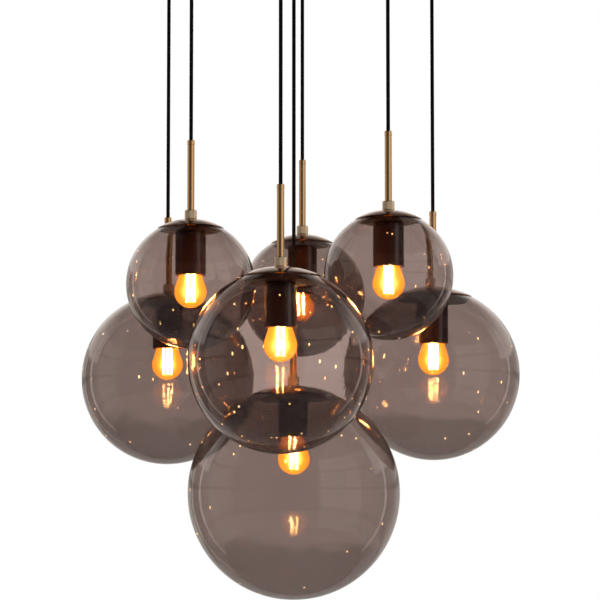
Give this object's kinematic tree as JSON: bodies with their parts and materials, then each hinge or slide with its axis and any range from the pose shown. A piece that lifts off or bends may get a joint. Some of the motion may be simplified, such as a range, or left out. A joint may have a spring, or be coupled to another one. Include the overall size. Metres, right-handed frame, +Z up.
{
  "type": "cluster pendant light",
  "caption": "Cluster pendant: smoke glass globes of three sizes on black cords from one round canopy, bronze caps, amber filament bulbs.",
  "frame": {"origin": "middle of the ceiling bracket's two screw holes, on its top face, which lies on the ceiling", "axes": "+Z up into the ceiling, the object hangs below z = 0; -Y is the front, where the middle-sized globe hangs before the large one; +X is to the right as seen from the front"},
  "size_m": [0.6396, 0.6, 0.954],
  "materials": {
    "polished_bronze": "polished",
    "brass": "satin",
    "black_metal": "satin",
    "black_holder": "gloss",
    "black_cord": "woven",
    "smoke_glass": "clear",
    "amber_glass": "clear",
    "zinc_steel": "satin"
  },
  "bodies": {
    "canopy": {"canopy_cover": "polished_bronze", "ceiling_bracket": "zinc_steel", "canopy_screws": "zinc_steel", "cord_grips": "polished_bronze"},
    "small_left_suspension": {"small_left_cord": "black_cord"},
    "small_left_lamp": {"small_left_stem": "brass", "small_left_nut": "brass", "small_left_cap": "polished_bronze", "small_left_gallery": "black_metal", "small_left_lampholder": "black_holder"},
    "small_left_shade": {"small_left_globe": "smoke_glass"},
    "small_left_light": {"small_left_bulb": "amber_glass"},
    "small_back_suspension": {"small_back_cord": "black_cord"},
    "small_back_lamp": {"small_back_stem": "brass", "small_back_nut": "brass", "small_back_cap": "polished_bronze", "small_back_gallery": "black_metal", "small_back_lampholder": "black_holder"},
    "small_back_shade": {"small_back_globe": "smoke_glass"},
    "small_back_light": {"small_back_bulb": "amber_glass"},
    "small_right_suspension": {"small_right_cord": "black_cord"},
    "small_right_lamp": {"small_right_stem": "brass", "small_right_nut": "brass", "small_right_cap": "polished_bronze", "small_right_gallery": "black_metal", "small_right_lampholder": "black_holder"},
    "small_right_shade": {"small_right_globe": "smoke_glass"},
    "small_right_light": {"small_right_bulb": "amber_glass"},
    "medium_front_suspension": {"medium_front_cord": "black_cord"},
    "medium_front_lamp": {"medium_front_stem": "brass", "medium_front_nut": "brass", "medium_front_cap": "polished_bronze", "medium_front_gallery": "black_metal", "medium_front_lampholder": "black_holder"},
    "medium_front_shade": {"medium_front_globe": "smoke_glass"},
    "medium_front_light": {"medium_front_bulb": "amber_glass"},
    "medium_left_suspension": {"medium_left_cord": "black_cord"},
    "medium_left_lamp": {"medium_left_stem": "brass", "medium_left_nut": "brass", "medium_left_cap": "polished_bronze", "medium_left_gallery": "black_metal", "medium_left_lampholder": "black_holder"},
    "medium_left_shade": {"medium_left_globe": "smoke_glass"},
    "medium_left_light": {"medium_left_bulb": "amber_glass"},
    "medium_right_suspension": {"medium_right_cord": "black_cord"},
    "medium_right_lamp": {"medium_right_stem": "brass", "medium_right_nut": "brass", "medium_right_cap": "polished_bronze", "medium_right_gallery": "black_metal", "medium_right_lampholder": "black_holder"},
    "medium_right_shade": {"medium_right_globe": "smoke_glass"},
    "medium_right_light": {"medium_right_bulb": "amber_glass"},
    "large_suspension": {"large_cord": "black_cord"},
    "large_lamp": {"large_stem": "brass", "large_nut": "brass", "large_cap": "polished_bronze", "large_gallery": "black_metal", "large_lampholder": "black_holder"},
    "large_shade": {"large_globe": "smoke_glass"},
    "large_light": {"large_bulb": "amber_glass"}
  },
  "joints": [
    {"name": "small_left_swing", "type": "hinge", "parent": "canopy", "child": "small_left_suspension", "pos_m": [-0.13856, -0.08, -0.042], "axis": [-0.5, 0.866, 0], "range_deg": [-6, 20]},
    {"name": "small_left_tilt", "type": "hinge", "parent": "small_left_suspension", "child": "small_left_lamp", "pos_m": [-0.13856, -0.08, -0.315], "axis": [-0.866, -0.5, 0], "range_deg": [-4, 4]},
    {"name": "small_left_globe_twist", "type": "hinge", "parent": "small_left_lamp", "child": "small_left_shade", "pos_m": [-0.13856, -0.08, -0.514], "axis": [0, 0, 1], "range_deg": [0, 40]},
    {"name": "small_left_bulb_unscrew", "type": "slide", "parent": "small_left_lamp", "child": "small_left_light", "axis": [0, 0, -1], "range_m": [0, 0.022]},
    {"name": "small_back_swing", "type": "hinge", "parent": "canopy", "child": "small_back_suspension", "pos_m": [0, 0.16, -0.042], "axis": [1, 0, 0], "range_deg": [-6, 20]},
    {"name": "small_back_tilt", "type": "hinge", "parent": "small_back_suspension", "child": "small_back_lamp", "pos_m": [0, 0.16, -0.31], "axis": [0, 1, 0], "range_deg": [-4, 4]},
    {"name": "small_back_globe_twist", "type": "hinge", "parent": "small_back_lamp", "child": "small_back_shade", "pos_m": [0, 0.16, -0.509], "axis": [0, 0, 1], "range_deg": [0, 40]},
    {"name": "small_back_bulb_unscrew", "type": "slide", "parent": "small_back_lamp", "child": "small_back_light", "axis": [0, 0, -1], "range_m": [0, 0.022]},
    {"name": "small_right_swing", "type": "hinge", "parent": "canopy", "child": "small_right_suspension", "pos_m": [0.13856, -0.08, -0.042], "axis": [-0.5, -0.866, 0], "range_deg": [-6, 20]},
    {"name": "small_right_tilt", "type": "hinge", "parent": "small_right_suspension", "child": "small_right_lamp", "pos_m": [0.13856, -0.08, -0.305], "axis": [0.866, -0.5, 0], "range_deg": [-4, 4]},
    {"name": "small_right_globe_twist", "type": "hinge", "parent": "small_right_lamp", "child": "small_right_shade", "pos_m": [0.13856, -0.08, -0.504], "axis": [0, 0, 1], "range_deg": [0, 40]},
    {"name": "small_right_bulb_unscrew", "type": "slide", "parent": "small_right_lamp", "child": "small_right_light", "axis": [0, 0, -1], "range_m": [0, 0.022]},
    {"name": "medium_front_swing", "type": "hinge", "parent": "canopy", "child": "medium_front_suspension", "pos_m": [0, -0.225, -0.042], "axis": [-1, 0, 0], "range_deg": [-0.3, 20]},
    {"name": "medium_front_tilt", "type": "hinge", "parent": "medium_front_suspension", "child": "medium_front_lamp", "pos_m": [0, -0.225, -0.398], "axis": [0, -1, 0], "range_deg": [-4, 4]},
    {"name": "medium_front_globe_twist", "type": "hinge", "parent": "medium_front_lamp", "child": "medium_front_shade", "pos_m": [0, -0.225, -0.632], "axis": [0, 0, 1], "range_deg": [0, 40]},
    {"name": "medium_front_bulb_unscrew", "type": "slide", "parent": "medium_front_lamp", "child": "medium_front_light", "axis": [0, 0, -1], "range_m": [0, 0.022]},
    {"name": "medium_left_swing", "type": "hinge", "parent": "canopy", "child": "medium_left_suspension", "pos_m": [-0.19485, 0.1125, -0.042], "axis": [0.5, 0.866, 0], "range_deg": [-0.3, 20]},
    {"name": "medium_left_tilt", "type": "hinge", "parent": "medium_left_suspension", "child": "medium_left_lamp", "pos_m": [-0.19485, 0.1125, -0.4], "axis": [-0.866, 0.5, 0], "range_deg": [-4, 4]},
    {"name": "medium_left_globe_twist", "type": "hinge", "parent": "medium_left_lamp", "child": "medium_left_shade", "pos_m": [-0.19485, 0.1125, -0.634], "axis": [0, 0, 1], "range_deg": [0, 40]},
    {"name": "medium_left_bulb_unscrew", "type": "slide", "parent": "medium_left_lamp", "child": "medium_left_light", "axis": [0, 0, -1], "range_m": [0, 0.022]},
    {"name": "medium_right_swing", "type": "hinge", "parent": "canopy", "child": "medium_right_suspension", "pos_m": [0.19485, 0.1125, -0.042], "axis": [0.5, -0.866, 0], "range_deg": [-0.3, 20]},
    {"name": "medium_right_tilt", "type": "hinge", "parent": "medium_right_suspension", "child": "medium_right_lamp", "pos_m": [0.19485, 0.1125, -0.395], "axis": [0.866, 0.5, 0], "range_deg": [-4, 4]},
    {"name": "medium_right_globe_twist", "type": "hinge", "parent": "medium_right_lamp", "child": "medium_right_shade", "pos_m": [0.19485, 0.1125, -0.629], "axis": [0, 0, 1], "range_deg": [0, 40]},
    {"name": "medium_right_bulb_unscrew", "type": "slide", "parent": "medium_right_lamp", "child": "medium_right_light", "axis": [0, 0, -1], "range_m": [0, 0.022]},
    {"name": "large_swing", "type": "hinge", "parent": "canopy", "child": "large_suspension", "pos_m": [0, 0, -0.042], "axis": [1, 0, 0], "range_deg": [-0.3, 0.9]},
    {"name": "large_tilt", "type": "hinge", "parent": "large_suspension", "child": "large_lamp", "pos_m": [0, 0, -0.545], "axis": [0, -1, 0], "range_deg": [-0.5, 2]},
    {"name": "large_globe_twist", "type": "hinge", "parent": "large_lamp", "child": "large_shade", "pos_m": [0, 0, -0.804], "axis": [0, 0, 1], "range_deg": [0, 40]},
    {"name": "large_bulb_unscrew", "type": "slide", "parent": "large_lamp", "child": "large_light", "axis": [0, 0, -1], "range_m": [0, 0.022]}
  ]
}
